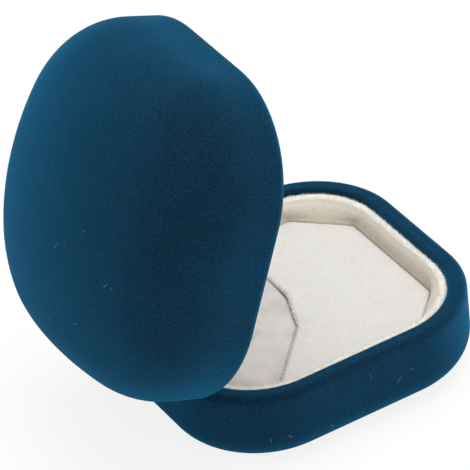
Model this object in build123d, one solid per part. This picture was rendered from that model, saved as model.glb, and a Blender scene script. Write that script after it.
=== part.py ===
from build123d import *
import math
import os

# A small jewellery box with a hinged domed lid. Both halves are moulded shells
# wrapped in flocked fabric, lined with cream velour, and joined by a steel
# hinge at the back. Origin: middle of the underside, +Z up, hinge along X at
# the back (+Y). The lid is modelled closed and then swung open to rest.

# ---- overall form (mm)
box_w = 60.8            # along the hinge
box_d = 64.0            # front to back
corner_r = 19.5         # corner in plan, base
base_h = 16.4           # underside to rim
foot_r = 6.0            # rounding at the bottom edge
rim_r = 1.3             # rounding of the outer rim edge
lid_over = 1.3          # lid stands out past the base all round
lid_h = 29.7            # lid rim to the top of the dome
dome_r = 62.0           # radius of the top of the dome
shoulder_r = 17.0       # rounding from the dome into the sides
lid_rim_r = 2.0         # rounding of the lid's outer rim edge
lid_corner_r = 22.5     # corner in plan, lid
rest_open = 69.0        # lid angle from closed, as it stands
most_open = 75.0        # lid angle from closed, at its stop
rim_gap = 0.3           # between the two rims when closed

# ---- layers of the wall
skin_t = 0.8            # flocked fabric
shell_t = 2.1           # moulded shell
glue = 0.05             # between layers
turn_in = 2.6           # fabric turned over the rim
sole_t = 0.4            # sheet under the base
sole_in = 7.0           # sheet drawn in from the outline
shell_in = skin_t + glue + shell_t
rim_w = shell_in + glue + skin_t

# ---- base lining and its two pads
card_t = 0.5
collar_drop = 0.85      # lining top below the rim
collar_top_w = 1.6      # width of the rolled top
collar_foot_in = 6.8    # outline where the lining meets the pads
collar_chamfer = 9.5    # cut-off corners there
collar_roll = 0.7
collar_cover = 1.0      # velour over the top of the card
pad_z = 11.5            # top of the pads
board_t = 0.8
velour_t = 1.1
pad_edge = 0.5          # rounding of the pad's edge
pad_clear = 0.12        # between the pads and the lining
split_gap = 0.35        # between the two pads
split_mid_x = 6.4       # middle of the angular edge
split_half = 3.4        # half of its straight front
split_front_y = -2.3
split_run = 9.9         # first slope, sideways
split_rise = 3.6        # first slope, backwards
split_slope = 0.92      # of the rest, to the wall
satin_drop = 0.5        # cushion edge below the velour
satin_crown = 1.1
satin_edge = 0.9
slot_w = 1.4            # slit that holds a ring
slot_len = 22.0
slot_depth = 5.5
slot_y = 11.5

# ---- lid lining
band_in = 5.15          # its card, in from the lid's outline
band_top_in = 0.9       # lining starts this far above the rim plane
band_lip_h = 1.8        # rolled lip of the lining
band_h = 14.0           # lining height up to the board
band_t = 0.9
band_roll = 0.5
lid_board_t = 0.8
lid_pad_t = 3.2
lid_pad_crown = 1.4
lid_pad_edge = 1.1

# ---- hinge
leaf_t = 0.37
knuckle_r = 0.85
pin_r = 0.42
pin_clear = 0.06
hinge_w = 22.0
mid_w = 10.8            # middle knuckle, on the lid
knuckle_gap = 0.2
leaf_h = 9.0
pocket = 0.05           # clearance round a leaf
barrel_clear = 0.3
neck = 1.15             # leaf narrows this near the pin
blade_t = 0.25
blade_w = 8.6
blade_tip = 0.25        # blade stops this far below the knuckle
blade_foot_h = 3.2
rivet_x = 7.4
rivet_z = 6.4           # from the pin
rivet_r = 0.6
rivet_head_r = 1.15
rivet_head_t = 0.33
rivet_in = 1.2
rivet_clear = 0.04
land_out = 1.5          # flat land in the lid shell, past the leaf

# ---- derived
hinge_y = box_d / 2 - (shell_in - knuckle_r)
bevel = (most_open + 1.0) / 2
floor_z = sole_t + skin_t + glue + shell_t
collar_in = rim_w + glue
collar_z = base_h - collar_drop
card_top = collar_z - collar_cover
floor_r = foot_r - shell_in
collar_off = max(floor_r - collar_in + shell_in, 0)
collar_seat = floor_z + floor_r - math.sqrt(floor_r ** 2 - collar_off ** 2) + glue
lid_rim_z = base_h + rim_gap
pivot = Pos(0, hinge_y, base_h)


def plan(inset, corner):
    """Rounded outline of the box, drawn in by inset."""
    return RectangleRounded(box_w - 2 * inset, box_d - 2 * inset, corner - inset)


def prism(sketch, z0, z1):
    return extrude(Pos(0, 0, z0) * sketch, z1 - z0)


def slab(z0, z1, size=300.0):
    return Pos(0, 0, (z0 + z1) / 2) * Box(size, size, z1 - z0)


def block(x0, x1, y0, y1, z0, z1):
    centre = Pos((x0 + x1) / 2, (y0 + y1) / 2, (z0 + z1) / 2)
    return centre * Box(x1 - x0, y1 - y0, z1 - z0)


def ball(radius):
    """Sphere whose poles and seam lie off the top of a dome."""
    return Sphere(radius, rotation=(90, 0, 0))


def base_bevel(t):
    """What the sloping back of the base rim removes, t below its surface."""
    size = 60.0
    return pivot * Rot(X=-bevel) * Pos(0, 0, size / 2 - t) * Box(4 * size, 2 * size, size)


def lid_bevel(t):
    """The same for the lid."""
    size = 60.0
    return pivot * Rot(X=bevel) * Pos(0, 0, t - size / 2) * Box(4 * size, 2 * size, size)


def base_form(t):
    """Solid form of the base, t inside its outer surface."""
    body = prism(plan(t, corner_r), sole_t + t, base_h - t)
    body = fillet(body.faces().sort_by(Axis.Z)[0].edges(), foot_r - t)
    if rim_r - t > 0.2:
        body = fillet(body.faces().sort_by(Axis.Z)[-1].edges(), rim_r - t)
    return body - base_bevel(t)


def lid_plan(inset):
    """Rounded outline of the lid, drawn in by inset."""
    return plan(inset - lid_over, lid_corner_r - lid_over)


def lid_form(t, z_from=None):
    """Solid form of the closed lid, t inside its outer surface."""
    start = lid_rim_z + (t if z_from is None else z_from)
    body = prism(lid_plan(t), start, lid_rim_z + lid_h)
    body = body & (Pos(0, 0, lid_rim_z + lid_h - dome_r) * ball(dome_r - t))
    cap = body.faces().sort_by(Axis.Z)[-1]
    body = fillet(cap.edges(), shoulder_r - t)
    if z_from is not None:
        return body
    if lid_rim_r - t > 0.2:
        rim = body.faces().sort_by(Axis.Z)[0]
        body = fillet(rim.edges(), lid_rim_r - t)
    return body - lid_bevel(t)


def barrel_room():
    length = hinge_w + 2 * knuckle_gap
    tube = Cylinder(knuckle_r + barrel_clear, length, rotation=(0, 90, 0))
    return pivot * tube


def leaf_room(z0, z1):
    """Recess for a leaf; heights from the pin."""
    x = hinge_w / 2 + pocket
    y0 = hinge_y - knuckle_r - 3.0
    y1 = hinge_y - knuckle_r + leaf_t + pocket
    return block(-x, x, y0, y1, base_h + z0, base_h + z1)


# ---------------------------------------------------------------- base shell
def make_base_shell():
    envelope = base_form(skin_t + glue)
    cavity = prism(plan(shell_in, corner_r), floor_z, base_h + 5)
    cavity = fillet(cavity.faces().sort_by(Axis.Z)[0].edges(), floor_r)
    body = envelope - cavity - barrel_room()
    body = body - leaf_room(-leaf_h - pocket, 2.0)
    for s in (-1, 1):
        body = body - rivet_hole(s, -rivet_z)
    return body


def rivet_hole(side, z):
    depth = rivet_in + 0.1
    y = hinge_y - knuckle_r + leaf_t
    hole = Cylinder(rivet_r + rivet_clear, 2 * depth, rotation=(90, 0, 0))
    return Pos(side * rivet_x, y, base_h + z) * hole


def make_base_skin():
    body = base_form(0) - base_form(skin_t + glue)
    ring = plan(shell_in + glue, corner_r) - plan(rim_w, corner_r)
    turned = prism(ring, base_h - turn_in, base_h - skin_t / 2)
    body = body + turned
    body = body - prism(plan(rim_w, corner_r), floor_z, base_h + 5)
    body = body - base_bevel(0) - barrel_room()
    return body - leaf_room(-leaf_h - pocket, 2.0)


def make_base_sole():
    return prism(plan(sole_in, corner_r), 0, sole_t)


# ------------------------------------------------------------- base lining
def chamfered(inset, cut):
    w = box_w / 2 - inset
    d = box_d / 2 - inset
    pts = [(w, d - cut), (w - cut, d), (cut - w, d), (-w, d - cut)]
    pts += [(-w, cut - d), (cut - w, -d), (w - cut, -d), (w, cut - d)]
    return make_face(Polyline(*pts, close=True))


def make_collar_card():
    ring = plan(collar_in, corner_r) - plan(collar_in + card_t, corner_r)
    return prism(ring, collar_seat, card_top)


def make_collar_velour():
    body = prism(plan(collar_in, corner_r), collar_seat, collar_z)
    low = Pos(0, 0, pad_z) * octagon_wire(collar_foot_in, collar_chamfer)
    top_in = collar_in + collar_top_w
    high = Pos(0, 0, collar_z) * plan(top_in, corner_r).face().outer_wire()
    opening = Solid.make_loft([low, high], ruled=True)
    body = body - opening
    body = body - prism(chamfered(collar_foot_in, collar_chamfer), floor_z - 1, pad_z + 0.001)
    card = plan(collar_in - 1, corner_r) - plan(collar_in + card_t + glue, corner_r)
    body = body - prism(card, floor_z - 1, card_top + glue)
    top = body.faces().sort_by(Axis.Z)[-1]
    return fillet(top.edges(), collar_roll)


def octagon_wire(inset, cut):
    """Wire of the cut-cornered outline, starting as the rounded one does."""
    return chamfered(inset, cut).face().outer_wire()


# -------------------------------------------------------------------- pads
def split_points(shift):
    """Front edge of the cushion, left to right, moved forward by shift."""
    x1 = split_half
    x2 = x1 + split_run
    x3 = x2 + box_w
    y1 = split_front_y
    y2 = y1 + split_rise
    y3 = y2 + box_w * split_slope
    half = [(x1, y1), (x2, y2), (x3, y3)]
    right = [(split_mid_x + x, y - shift) for x, y in half]
    left = [(split_mid_x - x, y - shift) for x, y in reversed(half)]
    return left + right


def rear_area(shift):
    """Everything behind the angular edge."""
    pts = split_points(shift)
    return make_face(Polyline(*pts, close=True)) & Rectangle(box_w, box_d)


def front_area(shift):
    """Everything before it."""
    return Rectangle(box_w, box_d) - rear_area(shift)


def pad_area():
    """Floor between the walls of the lining."""
    return chamfered(collar_foot_in + pad_clear, collar_chamfer)


def rounded_pad(area, z0, z1, edge, dome=None):
    body = prism(area, z0, z1)
    if dome is not None:
        body = body & dome
    return fillet(body.faces().sort_by(Axis.Z)[-1].edges(), edge)


def make_insert_foam():
    area = pad_area() & front_area(split_gap)
    return prism(area, floor_z + glue, pad_z - velour_t - board_t - glue)


def make_insert_board():
    area = pad_area() & front_area(split_gap)
    return prism(area, pad_z - velour_t - board_t, pad_z - velour_t - glue)


def make_insert_velour():
    z0 = pad_z - velour_t
    body = rounded_pad(pad_area(), z0, pad_z, pad_edge)
    return body & rounded_pad(front_area(split_gap), z0, pad_z, pad_edge)


def make_cushion():
    edge_z = pad_z - satin_drop
    z0 = floor_z + glue
    z1 = edge_z + satin_crown
    reach = box_w / 2
    radius = (reach ** 2 + satin_crown ** 2) / (2 * satin_crown)
    mid_y = (split_front_y + box_d / 2 - collar_foot_in) / 2
    dome = Pos(0, mid_y, z1 - radius) * ball(radius)
    body = rounded_pad(pad_area(), z0, z1, satin_edge, dome)
    body = body & rounded_pad(rear_area(0), z0, z1, satin_edge, dome)
    x0 = split_mid_x - slot_len / 2
    slot = block(x0, x0 + slot_len, slot_y - slot_w / 2, slot_y + slot_w / 2,
                 edge_z - slot_depth, edge_z + 10)
    return body - slot


# ------------------------------------------------------------------- hinge
def knuckle(x0, x1):
    outer = Cylinder(knuckle_r, x1 - x0, rotation=(0, 90, 0))
    bore = Cylinder(pin_r + pin_clear, x1 - x0 + 1, rotation=(0, 90, 0))
    return pivot * Pos((x0 + x1) / 2, 0, 0) * (outer - bore)


def plate(x0, x1, z0, z1):
    y0 = hinge_y - knuckle_r
    return block(x0, x1, y0, y0 + leaf_t, base_h + z0, base_h + z1)


def leaf_holes(body, z):
    y = hinge_y - knuckle_r + leaf_t / 2
    for s in (-1, 1):
        hole = Cylinder(rivet_r + rivet_clear, 4 * leaf_t, rotation=(90, 0, 0))
        body = body - Pos(s * rivet_x, y, base_h + z) * hole
    return body


def bore_room():
    return pivot * Cylinder(pin_r + pin_clear, 3 * hinge_w, rotation=(0, 90, 0))


def make_base_leaf():
    x_in = mid_w / 2 + knuckle_gap
    x_out = hinge_w / 2
    body = plate(-x_out, x_out, -leaf_h, -neck)
    for x0, x1 in ((-x_out, -x_in), (x_in, x_out)):
        body = body + plate(x0, x1, -neck, 0) + knuckle(x0, x1)
    return leaf_holes(body - bore_room(), -rivet_z)


def make_lid_leaf():
    x_out = hinge_w / 2
    x_mid = mid_w / 2
    body = plate(-x_out, x_out, neck, leaf_h)
    body = body + plate(-x_mid, x_mid, 0, neck) + knuckle(-x_mid, x_mid)
    return leaf_holes(body - bore_room(), rivet_z)


def make_pin():
    return pivot * Cylinder(pin_r, hinge_w + knuckle_gap, rotation=(0, 90, 0))


def make_blade():
    """Flat spring on the base leaf; its tip bears under the middle knuckle."""
    y1 = hinge_y - knuckle_r
    y0 = y1 - blade_t
    z_foot = base_h - leaf_h
    z_step = z_foot + blade_foot_h + 1.6
    z_tip = base_h - knuckle_r - blade_tip
    foot = block(-hinge_w / 2 + 1, hinge_w / 2 - 1, y0, y1, z_foot, z_step)
    tongue = block(-blade_w / 2, blade_w / 2, y0, y1, z_step, z_tip)
    body = foot + tongue
    y = (y0 + y1) / 2
    for s in (-1, 1):
        hole = Cylinder(rivet_r + rivet_clear, 4 * leaf_t, rotation=(90, 0, 0))
        body = body - Pos(s * rivet_x, y, base_h - rivet_z) * hole
    return body


def make_rivet(side, z, under):
    """Rivet through a leaf; under is what lies between leaf and head."""
    y_leaf = hinge_y - knuckle_r - under
    head = Cylinder(rivet_head_r, rivet_head_t, rotation=(90, 0, 0))
    head = chamfer(head.faces().sort_by(Axis.Y)[0].edges(), rivet_head_t * 0.5)
    length = rivet_head_t / 2 + under + leaf_t + rivet_in
    shank = Cylinder(rivet_r, length, rotation=(90, 0, 0))
    body = Pos(0, y_leaf - rivet_head_t / 2, 0) * head
    body = body + Pos(0, y_leaf - rivet_head_t / 2 + length / 2, 0) * shank
    return Pos(side * rivet_x, 0, base_h + z) * body


# --------------------------------------------------------------------- lid
def lid_land(clear):
    """Thickened wall that the lid's hinge leaf lies on."""
    x = hinge_w / 2 + land_out + clear
    y0 = hinge_y - knuckle_r + leaf_t + pocket - clear
    z1 = base_h + leaf_h + land_out + clear
    return block(-x, x, y0, box_d, base_h - 5, z1)


def make_lid_shell():
    envelope = lid_form(skin_t + glue)
    cavity = lid_form(shell_in, z_from=-5) - lid_land(0)
    body = envelope - cavity - barrel_room()
    body = body - leaf_room(-2.0, leaf_h + pocket)
    for s in (-1, 1):
        body = body - rivet_hole(s, rivet_z)
    return body


def make_lid_skin():
    body = lid_form(0) - lid_form(skin_t + glue)
    turned = lid_form(shell_in + glue, z_from=skin_t / 2) & slab(lid_rim_z, lid_rim_z + turn_in)
    body = body + (turned - lid_land(glue))
    body = body - lid_form(rim_w, z_from=-5)
    body = body - lid_bevel(0) - barrel_room()
    body = body - leaf_room(-2.0, leaf_h + pocket)
    return body


def make_lid_card():
    ring = lid_plan(band_in) - lid_plan(band_in + card_t)
    return prism(ring, lid_rim_z + band_top_in + band_lip_h, lid_rim_z + band_h)


def make_lid_velour():
    z0 = lid_rim_z + band_top_in
    z1 = z0 + band_lip_h
    inner = lid_plan(band_in + card_t + glue + band_t)
    lip = prism(lid_plan(rim_w + glue) - inner, z0, z1 - glue)
    face = prism(lid_plan(band_in + card_t + glue) - inner, z0, lid_rim_z + band_h)
    body = lip + face
    low = body.faces().sort_by(Axis.Z)[0]
    body = fillet(low.edges(), band_roll)
    x = hinge_w / 2 + land_out + 2 * glue
    return body - block(-x, x, hinge_y - knuckle_r - glue, box_d, base_h - 5, z1)


def make_lid_board():
    z = lid_rim_z + band_h + glue
    return prism(lid_plan(band_in), z, z + lid_board_t)


def make_lid_pad():
    inset = band_in + card_t + glue + band_t + pad_clear
    z1 = lid_rim_z + band_h
    z0 = z1 - lid_pad_t - lid_pad_crown
    body = prism(lid_plan(inset), z0, z1)
    reach = math.hypot(box_w / 2 - inset, box_d / 2 - inset)
    radius = (reach ** 2 + lid_pad_crown ** 2) / (2 * lid_pad_crown)
    crown = Rot(Y=90) * Sphere(radius)      # its poles and seam clear of every edge
    body = body & (Pos(0, 0, z0 + radius) * crown)
    low = body.faces().sort_by(Axis.Z)[0]
    return fillet(low.edges(), lid_pad_edge)


def swing(solid):
    """Open the lid to where it stands at rest."""
    return pivot * Rot(X=-rest_open) * pivot.inverse() * solid


base_parts = {
    "base_shell": make_base_shell(),
    "base_skin": make_base_skin(),
    "base_sole": make_base_sole(),
    "collar_card": make_collar_card(),
    "collar_velour": make_collar_velour(),
    "insert_foam": make_insert_foam(),
    "insert_board": make_insert_board(),
    "insert_velour": make_insert_velour(),
    "ring_cushion": make_cushion(),
    "hinge_leaf_base": make_base_leaf(),
    "hinge_pin": make_pin(),
    "hinge_spring": make_blade(),
    "rivet_base_left": make_rivet(-1, -rivet_z, blade_t),
    "rivet_base_right": make_rivet(1, -rivet_z, blade_t),
}
lid_parts = {
    "lid_shell": make_lid_shell(),
    "lid_skin": make_lid_skin(),
    "lid_band_card": make_lid_card(),
    "lid_band_velour": make_lid_velour(),
    "lid_board": make_lid_board(),
    "lid_pad": make_lid_pad(),
    "hinge_leaf_lid": make_lid_leaf(),
    "rivet_lid_left": make_rivet(-1, rivet_z, 0),
    "rivet_lid_right": make_rivet(1, rivet_z, 0),
}

os.makedirs("parts", exist_ok=True)
for name, solid in base_parts.items():
    export_step(Part() + solid, f"parts/{name}.step")
for name, solid in lid_parts.items():
    export_step(Part() + swing(solid), f"parts/{name}.step")
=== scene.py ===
import math
import random

import bmesh
import bpy
from mathutils import Matrix, Vector, noise


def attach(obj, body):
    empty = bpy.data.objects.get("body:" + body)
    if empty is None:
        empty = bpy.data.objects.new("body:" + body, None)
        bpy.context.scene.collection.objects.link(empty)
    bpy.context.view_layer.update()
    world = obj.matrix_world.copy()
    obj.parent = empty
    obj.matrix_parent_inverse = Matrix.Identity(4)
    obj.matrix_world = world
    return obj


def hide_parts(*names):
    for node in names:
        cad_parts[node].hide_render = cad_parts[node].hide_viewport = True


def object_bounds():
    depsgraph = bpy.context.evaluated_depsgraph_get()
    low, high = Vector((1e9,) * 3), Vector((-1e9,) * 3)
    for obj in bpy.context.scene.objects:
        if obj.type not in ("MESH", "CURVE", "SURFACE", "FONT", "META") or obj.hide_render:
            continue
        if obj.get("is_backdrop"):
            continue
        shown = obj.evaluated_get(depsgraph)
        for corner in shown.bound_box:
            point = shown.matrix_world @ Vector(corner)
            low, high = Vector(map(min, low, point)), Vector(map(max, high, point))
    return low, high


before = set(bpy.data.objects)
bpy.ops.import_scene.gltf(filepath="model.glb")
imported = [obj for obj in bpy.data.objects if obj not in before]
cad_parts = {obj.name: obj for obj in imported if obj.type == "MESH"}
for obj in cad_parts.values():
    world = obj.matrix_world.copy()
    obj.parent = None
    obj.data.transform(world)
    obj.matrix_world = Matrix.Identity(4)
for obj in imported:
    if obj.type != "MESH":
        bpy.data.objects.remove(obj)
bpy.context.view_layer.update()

# Base wrap: dark blue flocked fabric, short nylon fibre stood on end in glue
# on a thin cloth. It is stretched over the moulded tub, glued, and turned
# over the rim. All sizes here are millimetres until the mesh is made.
MM = 0.001
BOX_W, BOX_D, CORNER = 60.8, 64.0, 19.5
BASE_H, FOOT_R, RIM_R, RIM_W = 16.4, 6.0, 1.5, 3.8
RIM_CROWN = 0.04                # the fabric stands up a little between its bends
TURN_IN, TURN_R = 2.6, 1.0      # fabric turned over the rim, and its inner bend
SOLE_T, SHELL_IN = 0.4, 2.95
WRAP_END_IN = SHELL_IN + 0.1    # the turned edge ends on the shell
UNDER_IN = (24.0, 15.0, 9.0)    # rings under the foot, from the middle out
GLUE = 0.05
HINGE_Y = BOX_D / 2 - 2.1
BEVEL, BEVEL_ROUND = math.radians(38.0), 0.35
BARREL_ROOM, BARREL_HALF, BARREL_FADE = 1.12, 12.6, 1.4
CUT_ABOVE = 12.0                # nothing lower on the base is cut for the hinge


def smooth(t):
    t = min(max(t, 0.0), 1.0)
    return t * t * (3 - 2 * t)


def quarter(steps):
    """Angles of a quarter turn."""
    return [math.radians(90 * k / steps) for k in range(steps + 1)]


def rounded(half_w, half_d, corner, arc=22, side=26):
    """Points and outward normals round a rounded rectangle, always as many."""
    corner = max(corner, 0.05)
    out = []
    centres = [(1, -1, -90), (1, 1, 0), (-1, 1, 90), (-1, -1, 180)]
    for k, (sx, sy, a0) in enumerate(centres):
        cx, cy = sx * (half_w - corner), sy * (half_d - corner)
        for i in range(arc + 1):
            a = math.radians(a0 + 90 * i / arc)
            n = (math.cos(a), math.sin(a))
            out.append((cx + corner * n[0], cy + corner * n[1], n[0], n[1]))
        x0, y0, nx, ny = out[-1]
        sx2, sy2, _ = centres[(k + 1) % 4]
        x1 = sx2 * (half_w - corner) + corner * nx
        y1 = sy2 * (half_d - corner) + corner * ny
        for i in range(1, side):
            t = i / side
            out.append((x0 + (x1 - x0) * t, y0 + (y1 - y0) * t, nx, ny))
    return out


def made(bm, name):
    """A finished mesh as an object in the scene."""
    mesh = bpy.data.meshes.new(name)
    bm.to_mesh(mesh)
    bm.free()
    piece = bpy.data.objects.new(name, mesh)
    bpy.context.scene.collection.objects.link(piece)
    return piece


def shade_smooth(piece):
    piece.data.polygons.foreach_set("use_smooth", [True] * len(piece.data.polygons))


def skin_rings(rings, name, cap_start=False, cap_end=False):
    """A skin over rings of equal length."""
    bm = bmesh.new()
    rows = [[bm.verts.new((x * MM, y * MM, z * MM)) for x, y, z in ring] for ring in rings]
    count = len(rows[0])
    for a, b in zip(rows, rows[1:]):
        for i in range(count):
            j = (i + 1) % count
            bm.faces.new((a[i], a[j], b[j], b[i]))
    if cap_start:
        bm.faces.new(list(reversed(rows[0])))
    if cap_end:
        bm.faces.new(rows[-1])
    bmesh.ops.recalc_face_normals(bm, faces=bm.faces)
    piece = made(bm, name)
    shade_smooth(piece)
    return piece


def fold_back(x, y, z, up):
    """Slopes a rim away behind the hinge pin and hollows it round the barrel."""
    dy = y - HINGE_Y
    slope = up * math.tan(BEVEL) * max(0.0, math.hypot(dy, BEVEL_ROUND) + dy) * 0.5
    level = BASE_H + slope
    if (z - level) * up < 0:
        z = level + up * 0.02
    fade = smooth((BARREL_HALF - abs(x)) / BARREL_FADE)
    dz = z - BASE_H
    if fade > 0 and math.hypot(dy, dz) < BARREL_ROOM:
        push = math.sqrt(max(BARREL_ROOM * BARREL_ROOM - dy * dy, 0.0)) * up
        z = z + (BASE_H + push - z) * fade
    return x, y, z


def base_profile():
    """Inset and height of each ring, from under the foot to the turned edge."""
    pts = [(inset, SOLE_T) for inset in UNDER_IN]
    for a in quarter(12):
        pts.append((FOOT_R - FOOT_R * math.sin(a), SOLE_T + FOOT_R - FOOT_R * math.cos(a)))
    for k in range(1, 7):
        pts.append((0.0, SOLE_T + FOOT_R + (BASE_H - RIM_R - SOLE_T - FOOT_R) * k / 7))
    for a in quarter(8):
        pts.append((RIM_R - RIM_R * math.cos(a), BASE_H - RIM_R + RIM_R * math.sin(a)))
    pts.append(((RIM_R + RIM_W - TURN_R) / 2, BASE_H + RIM_CROWN))
    for a in quarter(8):
        pts.append((RIM_W - TURN_R + TURN_R * math.sin(a), BASE_H - TURN_R + TURN_R * math.cos(a)))
    pts.append((RIM_W, BASE_H - TURN_IN * 0.7))
    pts.append((RIM_W, BASE_H - TURN_IN))
    pts.append((WRAP_END_IN, BASE_H - TURN_IN))
    return pts


base_rings = []
for inset, z in base_profile():
    ring = rounded(BOX_W / 2 - inset, BOX_D / 2 - inset, max(CORNER - inset, 0.6))
    base_rings.append([fold_back(x, y, z, -1) if z > CUT_ABOVE else (x, y, z)
                       for x, y, _, _ in ring])
base_wrap = skin_rings(base_rings, "base_flocked_wrap", cap_start=True)


def linear(code):
    """sRGB hex to the linear colour that a shader takes."""
    parts = [int(code[i:i + 2], 16) / 255 for i in (1, 3, 5)]
    return [p / 12.92 if p <= 0.04045 else ((p + 0.055) / 1.055) ** 2.4 for p in parts] + [1.0]


def add(tree, kind, settings=None, links=None):
    """One shader node: settings by input or property, "stops" for the colours
    along a ramp, and links by input."""
    node = tree.nodes.new(kind)
    for key, value in (settings or {}).items():
        if key == "stops":
            while len(node.color_ramp.elements) < len(value):
                node.color_ramp.elements.new(0.5)
            for element, (at, colour) in zip(node.color_ramp.elements, value):
                element.position = at
                element.color = linear(colour)
        elif isinstance(key, int) or key in node.inputs:
            node.inputs[key].default_value = value
        else:
            setattr(node, key, value)
    for key, source in (links or {}).items():
        tree.links.new(source, node.inputs[key])
    return node


def blank(name, finish):
    """A material with a constant finish, and the object's coordinates in metres."""
    material = bpy.data.materials.new(name)
    material.use_nodes = True
    tree = material.node_tree
    tree.nodes.clear()
    shader = add(tree, "ShaderNodeBsdfPrincipled", finish)
    add(tree, "ShaderNodeOutputMaterial", links={"Surface": shader.outputs[0]})
    return material, tree, shader, add(tree, "ShaderNodeTexCoord").outputs["Object"]


# Flocking: matt nylon fibre. It looks dark where one looks straight into the
# pile and lighter at a grazing angle, which the sheen gives. Fibres stand
# about 0.1 mm apart, drawn here at 0.3 mm so that the grain shows.
GRAIN_MM, NAP_MM = 0.30, 9.0
flock, tree, shader, place = blank("blue_nylon_flocking", {
    "Roughness": 0.95, "Specular IOR Level": 0.12,
    "Sheen Weight": 0.52, "Sheen Roughness": 0.58, "Sheen Tint": linear("#009AD6")})
grain = add(tree, "ShaderNodeTexNoise", {"Scale": 1000 / GRAIN_MM, "Detail": 2.0},
            {"Vector": place})
nap = add(tree, "ShaderNodeTexNoise", {"Scale": 1000 / NAP_MM, "Detail": 3.0}, {"Vector": place})
both = add(tree, "ShaderNodeMix", {"Factor": 0.86},
           {"A": nap.outputs["Fac"], "B": grain.outputs["Fac"]})
tint = add(tree, "ShaderNodeValToRGB",
           {"stops": [(0.32, "#020D17"), (0.52, "#041A2B"), (0.72, "#073552")]},
           {"Fac": both.outputs["Result"]})
tree.links.new(tint.outputs["Color"], shader.inputs["Base Color"])
bump = add(tree, "ShaderNodeBump", {"Strength": 1.0, "Distance": 0.00016},
           {"Height": grain.outputs["Fac"]})
tree.links.new(bump.outputs["Normal"], shader.inputs["Normal"])

base_wrap.data.materials.append(flock)
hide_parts("base_skin")
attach(base_wrap, "base")


def dress(material, *names):
    """Gives a material to solids that stay as they are."""
    for name in names:
        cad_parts[name].data.materials.clear()
        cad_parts[name].data.materials.append(material)


# Sheet under the base: the same flocked cloth on paper, cut to the flat of
# the foot and glued over the turned edges.
dress(flock, "base_sole")

# Moulded shells: two high-impact polystyrene tubs, dark so that nothing
# shows through the wrap. They are seen only round the hinge.
moulded, tree, shader, place = blank("moulded_polystyrene", {"Roughness": 0.5})
speck = add(tree, "ShaderNodeTexNoise", {"Scale": 1000 / 1.2, "Detail": 2.0}, {"Vector": place})
tint = add(tree, "ShaderNodeValToRGB", {"stops": [(0.3, "#141C27"), (0.7, "#1B2634")]},
           {"Fac": speck.outputs["Fac"]})
tree.links.new(tint.outputs["Color"], shader.inputs["Base Color"])
bump = add(tree, "ShaderNodeBump", {"Strength": 0.2, "Distance": 0.00003},
           {"Height": speck.outputs["Fac"]})
tree.links.new(bump.outputs["Normal"], shader.inputs["Normal"])
dress(moulded, "base_shell", "lid_shell")

# Base lining: cream velour over a card strip, glued inside the rim. Its top
# is rolled and its foot is a rectangle with cut-off corners, where it meets
# the pads.
COLLAR_IN, COLLAR_Z, COLLAR_TOP_W = 3.85, BASE_H - 0.85, 1.7
COLLAR_HIDDEN = (3.0, 1.6)      # rings behind the roll, this far below its top
FOOT_IN, CHAMFER, PAD_Z = 6.8, 9.5, 11.5
ROLL_END = 158.0                # degrees of arc, where it runs into the wall
RIPPLE_MM = 3.1                 # the velour ripples a little at this scale


def cut_cornered(inset, cut, arc=22, side=26):
    """Like rounded(), round a rectangle with straight cut-off corners."""
    w, d = BOX_W / 2 - inset, BOX_D / 2 - inset
    ends = [((w - cut, -d), (w, cut - d)), ((w, d - cut), (w - cut, d)),
            ((cut - w, d), (-w, d - cut)), ((-w, cut - d), (cut - w, -d))]
    out = []
    for k, (a, b) in enumerate(ends):
        for i in range(arc + 1):
            t = i / arc
            out.append((a[0] + (b[0] - a[0]) * t, a[1] + (b[1] - a[1]) * t))
        nxt = ends[(k + 1) % 4][0]
        for i in range(1, side):
            t = i / side
            out.append((b[0] + (nxt[0] - b[0]) * t, b[1] + (nxt[1] - b[1]) * t))
    return out


# Each station is an inset, a height, and how far the ring has gone from the
# rounded plan of the rim to the cut-cornered plan of the foot.
stations = [(COLLAR_IN + GLUE, COLLAR_Z - down, 0.0) for down in COLLAR_HIDDEN]
r = COLLAR_TOP_W / 2
for k in range(13):
    a = math.radians(ROLL_END * k / 12)
    stations.append((COLLAR_IN + GLUE + r - r * math.cos(a), COLLAR_Z - r + r * math.sin(a), 0.0))
start, low, _ = stations[-1]
for k in range(1, 15):
    t = k / 14
    stations.append((start + (FOOT_IN - start) * t, low + (PAD_Z - low) * t, smooth(t)))
stations.append((FOOT_IN + 0.02, PAD_Z - 0.8, 1.0))
lining_rings = []
for inset, z, square in stations:
    soft_ring = rounded(BOX_W / 2 - inset, BOX_D / 2 - inset, CORNER - inset)
    cut_ring = cut_cornered(max(inset, FOOT_IN - 0.2), CHAMFER)
    ring = []
    for (x, y, nx, ny), (u, v) in zip(soft_ring, cut_ring):
        px, py = x + (u - x) * square, y + (v - y) * square
        wave = 0.07 * noise.noise(Vector((px / RIPPLE_MM, py / RIPPLE_MM, z / 3.0)))
        ring.append((px + nx * wave, py + ny * wave, z + wave * 0.6))
    lining_rings.append(ring)
base_lining = skin_rings(lining_rings, "base_velour_lining")

# Velour: polyester pile, brushed one way. It is matt, with soft light edges;
# the pile is about 0.4 mm. The walls are cream, the pads a cooler white.
PILE_MM, CLUMP_MM = 0.40, 3.5
# The pale top colour is a painted highlight: the lining is coloured paler towards the top of its
# rolled edge, where the overhead light falls.
PAINTED_TOP_LIGHT, NO_PAINTED_TOP_MM, ROLL_PAINTED_TOP_MM = "#F4F1EA", (90.0, 91.0), (13.6, 15.7)


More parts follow.
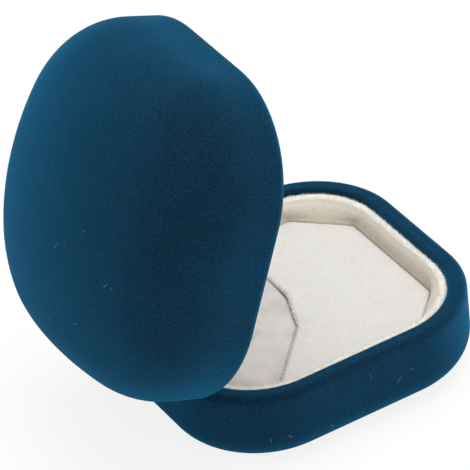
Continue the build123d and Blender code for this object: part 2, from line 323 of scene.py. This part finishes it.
def pile_cloth(name, dark, mid, light, painted_top_mm=NO_PAINTED_TOP_MM):
    """Pile fabric; above the heights given, its colour is painted paler upwards, a painted
    highlight on a rolled edge that faces the light.
    """
    material, tree, shader, place = blank(name, {
        "Roughness": 0.95, "Specular IOR Level": 0.12,
        "Sheen Weight": 0.3, "Sheen Roughness": 0.5, "Sheen Tint": linear("#FFF8EE")})
    pile = add(tree, "ShaderNodeTexNoise", {"Scale": 1000 / PILE_MM, "Detail": 3.0},
               {"Vector": place})
    clump = add(tree, "ShaderNodeTexNoise", {"Scale": 1000 / CLUMP_MM, "Detail": 2.0},
                {"Vector": place})
    both = add(tree, "ShaderNodeMix", {"Factor": 0.8},
               {"A": clump.outputs["Fac"], "B": pile.outputs["Fac"]})
    height = add(tree, "ShaderNodeSeparateXYZ", links={"Vector": place}).outputs["Z"]
    low, high = painted_top_mm
    # Painted highlight: the colour is painted paler with height over the given range.
    painted_rise = add(tree, "ShaderNodeMapRange",
               {"From Min": low * MM, "From Max": high * MM, "To Max": 0.5}, {"Value": height})
    half = add(tree, "ShaderNodeMath", {"operation": "MULTIPLY", 1: 0.5},
               {0: both.outputs["Result"]})
    total = add(tree, "ShaderNodeMath", {"operation": "ADD"},
                {0: half.outputs[0], 1: painted_rise.outputs["Result"]})
    tint = add(tree, "ShaderNodeValToRGB",
               {"stops": [(0.14, dark), (0.25, mid), (0.36, light), (0.75, PAINTED_TOP_LIGHT)]},
               {"Fac": total.outputs[0]})
    tree.links.new(tint.outputs["Color"], shader.inputs["Base Color"])
    bump = add(tree, "ShaderNodeBump", {"Strength": 0.4, "Distance": 0.00012},
               {"Height": pile.outputs["Fac"]})
    tree.links.new(bump.outputs["Normal"], shader.inputs["Normal"])
    return material


velour = pile_cloth("cream_velour", "#C4BCAE", "#CDC6B8", "#D6D0C4")
# The base lining gets the painted highlight on the top of its rolled edge.
rolled_velour = pile_cloth("cream_velour_rolled", "#C0B8A8", "#C9C1B2", "#D2CBBE", ROLL_PAINTED_TOP_MM)
# The loose fibres are the same velour coloured much paler: a painted highlight on the fibres that
# stand out of the edges.
pale_lit_pile = pile_cloth("pale_lit_pile", "#E4E1DA", "#ECEAE4", "#F2F1EC")
pad_velour = pile_cloth("white_velour", "#C2C0BB", "#CAC8C4", "#D2D1CD")
base_lining.data.materials.append(rolled_velour)
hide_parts("collar_velour")
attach(base_lining, "base")

# Card strips and boards: grey-white millboard about 0.5 mm thick, die-cut and
# hidden by what covers it.
card, tree, shader, place = blank("grey_millboard", {"Roughness": 0.85})
fibre = add(tree, "ShaderNodeTexNoise", {"Scale": 1000 / 1.5, "Detail": 4.0}, {"Vector": place})
tint = add(tree, "ShaderNodeValToRGB", {"stops": [(0.3, "#B4ABA0"), (0.7, "#CFC8BE")]},
           {"Fac": fibre.outputs["Fac"]})
tree.links.new(tint.outputs["Color"], shader.inputs["Base Color"])
dress(card, "collar_card", "insert_board", "lid_band_card", "lid_board")

# Foam under the front pad: a block of open-cell polyurethane, knife-cut to
# the pad's outline. The card lies on it.
foam, tree, shader, place = blank("polyurethane_foam", {"Roughness": 0.9})
cells = add(tree, "ShaderNodeTexVoronoi", {"Scale": 1000 / 0.8}, {"Vector": place})
tint = add(tree, "ShaderNodeValToRGB", {"stops": [(0.1, "#BDBAB2"), (0.6, "#DAD8D0")]},
           {"Fac": cells.outputs["Distance"]})
tree.links.new(tint.outputs["Color"], shader.inputs["Base Color"])
dress(foam, "insert_foam")

# Front pad: the same velour on thin wadding over a card, its rear edge cut
# at angles and the fabric turned under there, which leaves small tucks.
SPLIT_MID = 6.4
SPLIT = [(3.4, -2.3), (13.3, 1.3), (73.3, 56.5)]    # rear edge: out from its middle, and y
PAD_CLEAR, VELOUR_T, SPLIT_GAP = 0.12, 1.1, 0.2
TUCK_DEPTH, TUCK_REACH = 0.16, 1.3
CREASES = [((0.5, -3.6), (4.5, -14.0), 0.26), ((-7.5, 0.0), (-10.0, -9.5), 0.30),
           ((-7.0, 0.2), (-15.0, -6.0), 0.22), ((-9.6, 2.5), (-16.0, 0.0), 0.15)]
CREASE_W, CREASE_LIP_AT, CREASE_LIP_W = 0.8, 1.1, 0.7


def split_line(x):
    """Rear edge of the front pad: y for an x."""
    u = abs(x - SPLIT_MID)
    if u <= SPLIT[0][0]:
        return SPLIT[0][1]
    for (x0, y0), (x1, y1) in zip(SPLIT, SPLIT[1:]):
        if u <= x1:
            return y0 + (y1 - y0) * (u - x0) / (x1 - x0)
    return SPLIT[-1][1]


def front_outline():
    """Corner points of the front pad, seen from above, anticlockwise."""
    inset = FOOT_IN + PAD_CLEAR
    w, d = BOX_W / 2 - inset, BOX_D / 2 - inset
    pts = [(CHAMFER - w, -d), (w - CHAMFER, -d), (w, CHAMFER - d)]
    pts.append((w, split_line(w) - SPLIT_GAP))
    for u, _ in reversed(SPLIT[:2]):
        if SPLIT_MID + u < w:
            pts.append((SPLIT_MID + u, split_line(SPLIT_MID + u) - SPLIT_GAP))
    for u, _ in SPLIT[:2]:
        pts.append((SPLIT_MID - u, split_line(SPLIT_MID - u) - SPLIT_GAP))
    pts.append((-w, split_line(-w) - SPLIT_GAP))
    pts.append((-w, CHAMFER - d))
    return pts


def bake(piece):
    """Applies every modifier of a piece to its mesh."""
    depsgraph = bpy.context.evaluated_depsgraph_get()
    mesh = bpy.data.meshes.new_from_object(piece.evaluated_get(depsgraph))
    piece.modifiers.clear()
    piece.data = mesh


def pad_block(points, z0, z1, name, voxel, edge):
    """Closed block with rounded edges, remeshed fine enough to be formed."""
    bm = bmesh.new()
    face = bm.faces.new([bm.verts.new((x, y, z0)) for x, y in points])
    lifted = bmesh.ops.extrude_face_region(bm, geom=[face])
    top = [v for v in lifted["geom"] if isinstance(v, bmesh.types.BMVert)]
    bmesh.ops.translate(bm, verts=top, vec=(0, 0, z1 - z0))
    bmesh.ops.recalc_face_normals(bm, faces=bm.faces)
    bmesh.ops.bevel(bm, geom=list(bm.edges), offset=edge, segments=3, affect="EDGES",
                    profile=0.5, clamp_overlap=True)
    piece = made(bm, name)
    remesh = piece.modifiers.new("remesh", "REMESH")
    remesh.mode = "VOXEL"
    remesh.voxel_size = voxel
    bake(piece)
    return piece


def finish_mesh(piece):
    """Millimetres to metres, smooth shaded."""
    piece.data.transform(Matrix.Scale(MM, 4))
    shade_smooth(piece)
    piece.data.update()


def near_segment(x, y, a, b):
    """Distance from a point to a segment, and how far along it."""
    ax, ay = a
    dx, dy = b[0] - ax, b[1] - ay
    t = min(max(((x - ax) * dx + (y - ay) * dy) / (dx * dx + dy * dy), 0), 1)
    return math.hypot(x - ax - dx * t, y - ay - dy * t), t


front_pad = pad_block(front_outline(), PAD_Z - VELOUR_T, PAD_Z, "front_velour_pad", 0.42, 0.42)
for v in front_pad.data.vertices:
    x, y, z = v.co
    if z < PAD_Z - 0.6:
        continue
    behind = split_line(x) - SPLIT_GAP - y
    tuck = math.exp(-max(behind, 0) / TUCK_REACH)
    dz = -TUCK_DEPTH * tuck * (0.5 + 0.5 * noise.noise(Vector((x * 1.9, y * 0.4, 3.0))))
    for a, b, deep in CREASES:
        off, along = near_segment(x, y, a, b)
        dz -= deep * math.exp(-(off / CREASE_W) ** 2) * (1 - along) ** 0.7
        lip = math.exp(-((off - CREASE_LIP_AT) / CREASE_LIP_W) ** 2)
        dz += deep * 0.45 * lip * (1 - along)
    dz += 0.05 * noise.noise(Vector((x / 5, y / 5, 1.0)))
    v.co.z = z + dz
finish_mesh(front_pad)
front_pad.data.materials.append(pad_velour)
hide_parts("insert_velour")
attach(front_pad, "base")

# Ring cushion: satin drawn over a foam block and pressed in behind the front
# pad. A slit along the hinge side takes a ring. Foam pushes the satin up
# into a soft crown that is held down along the edges.
SATIN_DROP, SATIN_CROWN, CUSHION_T = 0.5, 1.1, 5.5
EDGE_Z = PAD_Z - SATIN_DROP
SLOT_Y, SLOT_LEN, SLOT_DEPTH = 11.5, 22.0, 4.0
SLOT_HALF, SLOT_DIP_HALF, SLOT_DIP = 0.75, 2.6, 0.5     # the slit, and the dip along it
UNDULATION, UNDULATION_MM = 0.50, 6.5
CLOTH_SCALE, CLOTH_FRAMES = 12.0, 20    # cloth behaves better on a larger piece


def cushion_outline():
    """Corner points of the ring cushion, seen from above."""
    inset = FOOT_IN + PAD_CLEAR + 0.1
    w, d = BOX_W / 2 - inset, BOX_D / 2 - inset
    pts = [(-w, split_line(-w))]
    for u, _ in reversed(SPLIT[:2]):
        pts.append((SPLIT_MID - u, split_line(SPLIT_MID - u)))
    for u, _ in SPLIT[:2]:
        if SPLIT_MID + u < w:
            pts.append((SPLIT_MID + u, split_line(SPLIT_MID + u)))
    pts.append((w, split_line(w)))
    pts += [(w, d - CHAMFER), (w - CHAMFER, d), (CHAMFER - w, d), (-w, d - CHAMFER)]
    return pts


def inside_depth(x, y, points):
    """Distance in from the nearest side of an outline."""
    return min(near_segment(x, y, a, b)[0] for a, b in zip(points, points[1:] + points[:1]))


def stuff(piece, held, cap):
    """Swells a padded piece as cloth, held at some points."""
    before = [v.co.copy() for v in piece.data.vertices]
    piece.data.transform(Matrix.Scale(CLOTH_SCALE * MM, 4))
    group = piece.vertex_groups.new(name="held")
    group.add([i for i, v in enumerate(before) if held(v)], 1.0, "REPLACE")
    cloth = piece.modifiers.new("cloth", "CLOTH")
    cloth.settings.vertex_group_mass = "held"
    cloth.settings.use_pressure = True
    cloth.settings.uniform_pressure_force = 3.0
    cloth.settings.shrink_min = -0.04
    cloth.settings.mass = 0.25
    cloth.settings.tension_stiffness = 18
    cloth.settings.compression_stiffness = 18
    cloth.settings.bending_stiffness = 0.35
    cloth.settings.effector_weights.gravity = 0
    cloth.point_cache.frame_start = 1
    cloth.point_cache.frame_end = CLOTH_FRAMES
    for step in range(1, CLOTH_FRAMES + 1):
        bpy.context.scene.frame_set(step)
    bake(piece)
    bpy.context.scene.frame_set(1)
    piece.data.transform(Matrix.Scale(1 / (CLOTH_SCALE * MM), 4))
    for v, old in zip(piece.data.vertices, before):
        move = v.co - old
        if move.length > cap:
            move = move * (cap / move.length)
        v.co = old + move
    piece.vertex_groups.clear()


cushion_edge = cushion_outline()
cushion = pad_block(cushion_edge, EDGE_Z - CUSHION_T, EDGE_Z, "satin_ring_cushion", 0.55, 0.8)
for v in cushion.data.vertices:
    x, y, z = v.co
    deep = inside_depth(x, y, cushion_edge)
    if z > EDGE_Z - 1.2:
        v.co.z = z + (SATIN_CROWN - 0.35) * (1 - math.exp(-deep / 4.0))
stuff(cushion, lambda p: p.z < EDGE_Z - 1.5, 0.45)
for v in cushion.data.vertices:
    x, y, z = v.co
    if z < EDGE_Z - 3.5:
        continue
    off = abs(y - SLOT_Y)
    end = smooth((SLOT_LEN / 2 + 0.6 - abs(x - SPLIT_MID)) / 1.4)
    slit = math.exp(-(off / SLOT_HALF) ** 2) * SLOT_DEPTH
    sink = slit + math.exp(-(off / SLOT_DIP_HALF) ** 2) * SLOT_DIP
    v.co.z = z - sink * end
    gather = 0.10 * math.exp(-off / 2.5) * noise.noise(Vector((x * 1.3, y * 0.3, 8.0)))
    v.co.z += gather * end
    v.co.z += UNDULATION * noise.noise(Vector((x / UNDULATION_MM, y / UNDULATION_MM, 4.0)))
    edge_in = inside_depth(x, y, cushion_edge)
    v.co.z += 0.12 * math.exp(-edge_in / 2.0) * noise.noise(Vector((x * 1.1, y * 1.1, 5.0)))
finish_mesh(cushion)
swell = cushion.modifiers.new("smooth", "SUBSURF")
swell.levels = swell.render_levels = 1
bake(cushion)
shade_smooth(cushion)

# Satin: polyester, warp-faced, floats along the box. The smooth floats give
# a soft broad gloss along one way. Threads are 0.1 mm, drawn at 0.25 mm.
THREAD_MM, CLOUD_MM = 0.25, 7.0
satin, tree, shader, place = blank("pale_satin", {
    "Roughness": 0.30, "Anisotropic": 0.4, "Sheen Weight": 0.25, "Sheen Roughness": 0.3})
turned = add(tree, "ShaderNodeMapping", {"Rotation": (0, 0, math.radians(8))}, {"Vector": place})
weave = add(tree, "ShaderNodeTexWave",
            {"Scale": 1000 / THREAD_MM / 6.28, "Distortion": 0.6, "Detail": 1.0},
            {"Vector": turned.outputs["Vector"]})
cloud = add(tree, "ShaderNodeTexNoise", {"Scale": 1000 / CLOUD_MM, "Detail": 2.0},
            {"Vector": place})
tint = add(tree, "ShaderNodeValToRGB", {"stops": [(0.3, "#ACA6A2"), (0.7, "#C2BEBB")]},
           {"Fac": cloud.outputs["Fac"]})
tree.links.new(tint.outputs["Color"], shader.inputs["Base Color"])
bump = add(tree, "ShaderNodeBump", {"Strength": 0.12, "Distance": 0.00004},
           {"Height": weave.outputs["Fac"]})
tree.links.new(bump.outputs["Normal"], shader.inputs["Normal"])
cushion.data.materials.append(satin)
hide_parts("ring_cushion")
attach(cushion, "base")

# Hinge: two stamped leaves of nickel-plated steel, a pin, a flat spring and
# four rivets. The plating is bright but drawn, so it has faint lines.
steel, tree, shader, place = blank("nickel_plated_steel", {"Metallic": 1.0})
turned = add(tree, "ShaderNodeMapping", {"Scale": (0.05, 1.0, 1.0)}, {"Vector": place})
lines = add(tree, "ShaderNodeTexNoise", {"Scale": 1000 / 0.15, "Detail": 2.0},
            {"Vector": turned.outputs["Vector"]})
tint = add(tree, "ShaderNodeValToRGB", {"stops": [(0.3, "#A9A8A4"), (0.7, "#C6C5C0")]},
           {"Fac": lines.outputs["Fac"]})
tree.links.new(tint.outputs["Color"], shader.inputs["Base Color"])
rough = add(tree, "ShaderNodeMapRange", {"To Min": 0.26, "To Max": 0.42},
            {"Value": lines.outputs["Fac"]})
tree.links.new(rough.outputs["Result"], shader.inputs["Roughness"])
dress(steel, "hinge_leaf_base", "hinge_leaf_lid", "hinge_pin", "hinge_spring",
      "rivet_base_left", "rivet_base_right", "rivet_lid_left", "rivet_lid_right")

# Lid wrap: the same flocked fabric, drawn over a tall domed shell. The dome
# is a shallow cap that rolls over a wide shoulder into nearly upright sides.
LID_OVER, LID_H, DOME_R, SHOULDER_R = 1.3, 29.7, 62.0, 17.0
LID_RIM_R, LID_CORNER, RIM_GAP = 2.0, 22.5, 0.3
LID_RIM_Z = BASE_H + RIM_GAP
DOME_Z = LID_RIM_Z + LID_H - DOME_R     # centre of the dome's sphere
REST_OPEN = math.radians(-69.0)         # turn of the lid at rest, from closed
LID_CUT_BELOW = BASE_H + 5


def swing(p):
    """A point of the closed lid, in mm, to where it is at rest."""
    x, y, z = p
    dy, dz = y - HINGE_Y, z - BASE_H
    c, s = math.cos(REST_OPEN), math.sin(REST_OPEN)
    return x, HINGE_Y + dy * c - dz * s, BASE_H + dy * s + dz * c


def lid_outline(inset, arc=22, side=26):
    """Plan of the closed lid, drawn in by an inset."""
    half_w, half_d = BOX_W / 2 + LID_OVER - inset, BOX_D / 2 + LID_OVER - inset
    return rounded(half_w, half_d, LID_CORNER - inset, arc, side)


def level_ring(inset, z):
    return [(x, y, z) for x, y, _, _ in lid_outline(inset)]


closed = [level_ring(WRAP_END_IN, LID_RIM_Z + TURN_IN), level_ring(RIM_W, LID_RIM_Z + TURN_IN)]
for a in quarter(8):
    closed.append(level_ring(RIM_W - TURN_R + TURN_R * math.cos(a),
                             LID_RIM_Z + TURN_R - TURN_R * math.sin(a)))
for a in quarter(8):
    closed.append(level_ring(LID_RIM_R - LID_RIM_R * math.sin(a),
                             LID_RIM_Z + LID_RIM_R - LID_RIM_R * math.cos(a)))

# The shoulder is an arc round a centre under the dome, from straight out to
# the dome's own direction there.
shoulder = []
for (x, y, nx, ny), (cx, cy, _, _) in zip(lid_outline(0), lid_outline(SHOULDER_R)):
    reach = DOME_R - SHOULDER_R
    cz = DOME_Z + math.sqrt(reach ** 2 - cx ** 2 - cy ** 2)
    over = Vector((cx, cy, cz - DOME_Z)).normalized()
    shoulder.append((Vector((cx, cy, cz)), Vector((nx, ny, 0)), over))
side_z = LID_RIM_Z + LID_RIM_R
for k in range(1, 6):
    closed.append([(x, y, side_z + (c.z - side_z) * (k / 6))
                   for (x, y, _, _), (c, _, _) in zip(lid_outline(0), shoulder)])
for k in range(21):
    t = k / 20
    ring = []
    for c, out, over in shoulder:
        angle = out.angle(over)
        way = (out * math.sin((1 - t) * angle) + over * math.sin(t * angle)) / math.sin(angle)
        ring.append(tuple(c + way * SHOULDER_R))
    closed.append(ring)
dome_edge = closed[-1]
for k in range(1, 16):
    s = (1 - k / 16) ** 0.8
    ring = []
    for x, y, _ in dome_edge:
        px, py = x * s, y * s
        ring.append((px, py, DOME_Z + math.sqrt(DOME_R ** 2 - px * px - py * py)))
    closed.append(ring)
lid_rings = [[swing(fold_back(*p, 1)) if p[2] < LID_CUT_BELOW else swing(p) for p in ring]
             for ring in closed]
lid_wrap = skin_rings(lid_rings, "lid_flocked_wrap", cap_end=True)
lid_wrap.data.materials.append(flock)
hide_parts("lid_skin")
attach(lid_wrap, "lid")

# Lid lining: a velour-covered card strip with a fat rolled lip, glued inside
# the lid. It stands a little in from the fabric that is turned over the rim,
# and runs straight across in front of the hinge leaf.
LEAF_HALF, LEAF_Y = 12.6, HINGE_Y - 0.9
LIP_IN, BAND_IN, LIP_Z, LIP_H, BAND_H = 3.95, 6.6, 0.9, 1.8, 14.0
LIP_MID, LIP_R = LIP_Z + LIP_H / 2, (BAND_IN - LIP_IN) / 2
stations = [(LIP_IN + 0.3, LIP_Z + LIP_H)]
for k in range(15):
    a = math.radians(180 * k / 14)
    stations.append((LIP_IN + LIP_R - LIP_R * math.cos(a), LIP_MID - LIP_H / 2 * math.sin(a)))
for k in range(1, 9):
    stations.append((BAND_IN, LIP_MID + (BAND_H - 0.2 - LIP_Z - LIP_H / 2) * k / 8))
band_rings = []
for inset, z in stations:
    ring = []
    for x, y, nx, ny in lid_outline(inset):
        wave = 0.06 * noise.noise(Vector((x / RIPPLE_MM, y / RIPPLE_MM, z / 3.0 + 9)))
        x, y = x - nx * abs(wave), y - ny * abs(wave)
        if abs(x) < LEAF_HALF and y > LEAF_Y:
            y = LEAF_Y
        ring.append(swing((x, y, LID_RIM_Z + z)))
    band_rings.append(ring)
lid_lining = skin_rings(band_rings, "lid_velour_lining")
lid_lining.data.materials.append(velour)
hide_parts("lid_band_velour")
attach(lid_lining, "lid")

# Lid cushion: satin over wadding on a card, pressed into the lid as a plain
# puffed panel.
LID_PAD_IN, LID_PAD_T, LID_PAD_CROWN = 6.72, 3.2, 1.4
PAD_TOP = LID_RIM_Z + BAND_H
pad_edge = [(x, y) for x, y, _, _ in lid_outline(LID_PAD_IN, arc=10, side=2)]
lid_cushion = pad_block(pad_edge, PAD_TOP - LID_PAD_T, PAD_TOP - 0.1, "lid_satin_cushion", 0.6, 0.7)
for v in lid_cushion.data.vertices:
    x, y, z = v.co
    deep = inside_depth(x, y, pad_edge)
    if z < PAD_TOP - LID_PAD_T + 1.2:
        v.co.z = z - (LID_PAD_CROWN - 0.3) * (1 - math.exp(-deep / 5.0))
stuff(lid_cushion, lambda p: p.z > PAD_TOP - 1.5, 0.5)
for v in lid_cushion.data.vertices:
    x, y, z = v.co
    edge_in = inside_depth(x, y, pad_edge)
    v.co.z = z + 0.16 * math.exp(-edge_in / 2.2) * noise.noise(Vector((x * 0.9, y * 0.9, 2.0)))
    v.co = Vector(swing(v.co))
finish_mesh(lid_cushion)
lid_cushion.data.materials.append(satin)
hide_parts("lid_pad")
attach(lid_cushion, "lid")

# Loose pile: single fibres that stand out of the lining's rolled edge and of
# the cut edge of the front pad, too fine to be anything but thin blades. They
# are coloured much paler than the velour they come from, a painted highlight.
random.seed(7)
LINING_FIBRES, EDGE_FIBRES, EDGE_HALF = 20000, 3200, 23.0
ROLLED_ROWS = range(5, 15)      # rings of the lining that show its raised pile


def fibres(spots, name, length, width):
    """Thin triangles, one per spot (point, way), in mm."""
    bm = bmesh.new()
    for point, way in spots:
        p = Vector(point)
        lean = Vector([random.gauss(0, 0.45) for _ in range(3)])
        d = (Vector(way) + lean).normalized() * length * random.uniform(0.5, 1.3)
        side = d.cross(Vector([random.gauss(0, 1) for _ in range(3)])).normalized() * width
        verts = [bm.verts.new(q * MM) for q in (p - side, p + side, p + d)]
        bm.faces.new(verts)
    return made(bm, name)


spots = []
for _ in range(LINING_FIBRES):
    row = lining_rings[random.choice(ROLLED_ROWS)]
    i = random.randrange(len(row))
    j = (i + 1) % len(row)
    t = random.random()
    a, b = Vector(row[i]), Vector(row[j])
    spots.append((a + (b - a) * t, (random.gauss(0, 0.5), random.gauss(0, 0.5), 1)))
lining_pile = fibres(spots, "lining_pile", 0.5, 0.03)
lining_pile.data.materials.append(pale_lit_pile)
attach(lining_pile, "base")
spots = []
for _ in range(EDGE_FIBRES):
    x = random.uniform(-EDGE_HALF, EDGE_HALF)
    y = split_line(x) - SPLIT_GAP - random.uniform(0.0, 0.45)
    spots.append(((x, y, PAD_Z - random.uniform(0.15, 0.6)), (0, 0.9, 0.3)))
edge_pile = fibres(spots, "cut_edge_pile", 0.75, 0.035)
edge_pile.data.materials.append(pale_lit_pile)
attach(edge_pile, "base")

# Lint: a few pale threads of dust that the flocking has picked up on the lid
# and along the front of the base, each a short curl.
LINT_LID, LINT_BASE = 11, 7
LINT_SHORT, LINT_LONG, LINT_HALF, LINT_UP = 0.5, 1.4, 0.03, 0.06


def thread(bm, start, way, normal, length):
    """A thin bent strip lying on a surface."""
    side = normal.cross(way).normalized() * LINT_HALF
    curl = random.uniform(-1.4, 1.4)
    spot, last = start.copy(), None
    for _ in range(6):
        pair = [bm.verts.new(q * MM) for q in (spot - side, spot + side)]
        if last:
            bm.faces.new((last[0], last[1], pair[1], pair[0]))
        last = pair
        way = (Matrix.Rotation(curl / 5, 3, normal) @ way).normalized()
        spot = spot + way * (length / 5)


def lint(piece, count, name, keep):
    """Threads on some faces of a piece, which keep() picks by centre and normal."""
    bm = bmesh.new()
    faces = [f for f in piece.data.polygons if keep(f.center / MM, f.normal)]
    for f in random.sample(faces, count):
        normal = f.normal.normalized()
        way = normal.orthogonal().normalized()
        way = Matrix.Rotation(random.uniform(0, 6.28), 3, normal) @ way
        length = random.uniform(LINT_SHORT, LINT_LONG)
        thread(bm, f.center / MM + normal * LINT_UP, way, normal, length)
    return made(bm, name)


lint_grey, tree, shader, place = blank("grey_lint", {
    "Base Color": linear("#7E93A0"), "Roughness": 0.9})
lid_lint = lint(lid_wrap, LINT_LID, "lid_lint",
                lambda c, n: n.y > 0.5 and 25 < c.z < 70 and abs(c.x) < 24)
lid_lint.data.materials.append(lint_grey)
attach(lid_lint, "lid")
base_lint = lint(base_wrap, LINT_BASE, "base_lint", lambda c, n: n.x < -0.5 and 5 < c.z < 14)
base_lint.data.materials.append(lint_grey)
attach(base_lint, "base")

# Floor and backdrop: a plain white sweep, not part of the box. Seen directly
# or in a reflection it is partly white of itself, and it keeps the shadow.
FLOOR_HALF_M, WHITE_SHARE = 3.0, 0.84


def seen_rays(tree):
    """1 for the rays that show a background: straight, reflected or through glass."""
    rays = add(tree, "ShaderNodeLightPath")
    eye = add(tree, "ShaderNodeMath", {"operation": "MAXIMUM"},
              {0: rays.outputs["Is Camera Ray"], 1: rays.outputs["Is Glossy Ray"]})
    return add(tree, "ShaderNodeMath", {"operation": "MAXIMUM"},
               {0: eye.outputs[0], 1: rays.outputs["Is Transmission Ray"]}).outputs[0]


bm = bmesh.new()
bmesh.ops.create_grid(bm, x_segments=1, y_segments=1, size=FLOOR_HALF_M)
floor = made(bm, "floor")
floor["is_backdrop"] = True
paper, tree, shader, place = blank("white_paper", {
    "Base Color": linear("#F4F4F4"), "Roughness": 0.9})
share = add(tree, "ShaderNodeMath", {"operation": "MULTIPLY", 1: WHITE_SHARE},
            {0: seen_rays(tree)})
glow = add(tree, "ShaderNodeEmission", {"Color": (1, 1, 1, 1), "Strength": 1.0})
blend = add(tree, "ShaderNodeMixShader",
            links={0: share.outputs[0], 1: shader.outputs[0], 2: glow.outputs[0]})
tree.links.new(blend.outputs[0], tree.nodes["Material Output"].inputs[0])
floor.data.materials.append(paper)

# Light: a wide soft box overhead, a weaker one beside the camera, a small one
# across from it, and a white room.
world = bpy.data.worlds.new("white_room")
bpy.context.scene.world = world
world.use_nodes = True
tree = world.node_tree
tree.nodes.clear()
room = add(tree, "ShaderNodeBackground", {"Color": (1, 1, 1, 1), "Strength": 0.55})
white = add(tree, "ShaderNodeBackground", {"Color": (1, 1, 1, 1), "Strength": 1.0})
mix = add(tree, "ShaderNodeMixShader",
          links={0: seen_rays(tree), 1: room.outputs[0], 2: white.outputs[0]})
add(tree, "ShaderNodeOutputWorld", links={"Surface": mix.outputs[0]})
AIM_M = (0, 0, 0.02)


def lamp(name, place_m, size, watts):
    data = bpy.data.lights.new(name, "AREA")
    data.size = size
    data.energy = watts
    light = bpy.data.objects.new(name, data)
    light.location = place_m
    facing = Vector(AIM_M) - Vector(place_m)
    light.rotation_euler = facing.to_track_quat("-Z", "Y").to_euler()
    bpy.context.scene.collection.objects.link(light)


lamp("overhead", (0.05, -0.15, 0.75), 0.7, 5.0)
lamp("beside_camera", (-0.6, 0.1, 0.45), 0.5, 1.2)
lamp("across", (0.55, -0.30, 0.46), 0.25, 0.35)

# Camera: a long lens, from behind the left side of the box, fitted to the
# outline of the base and the lid. The fit measures in lengths of the box.
LENGTH_M = 0.064
AZ, EL, ROLL = math.radians(-117.417), math.radians(35.90), math.radians(-6.737)
FAR_M, FOCAL_PX, IMAGE_PX, SENSOR = 14.222 * LENGTH_M, 4460.3, 470.0, 36.0
aim = Vector((0.628 * LENGTH_M, -0.186 * LENGTH_M, 0.0))
back = Vector((math.sin(AZ) * math.cos(EL), -math.cos(AZ) * math.cos(EL), math.sin(EL)))
right = Vector((0, 0, 1)).cross(back).normalized()
up = back.cross(right)
right_r = right * math.cos(ROLL) + up * math.sin(ROLL)
up_r = up * math.cos(ROLL) - right * math.sin(ROLL)
pose = Matrix((right_r, up_r, back)).transposed().to_4x4()
pose.translation = aim + back * FAR_M
lens = bpy.data.cameras.new("camera")
lens.sensor_width = SENSOR
lens.lens = FOCAL_PX / IMAGE_PX * SENSOR
lens.clip_start = 0.05
camera = bpy.data.objects.new("camera", lens)
camera.matrix_world = pose
bpy.context.scene.collection.objects.link(camera)
bpy.context.scene.camera = camera
bpy.context.scene.view_settings.view_transform = "Standard"

low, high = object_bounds()
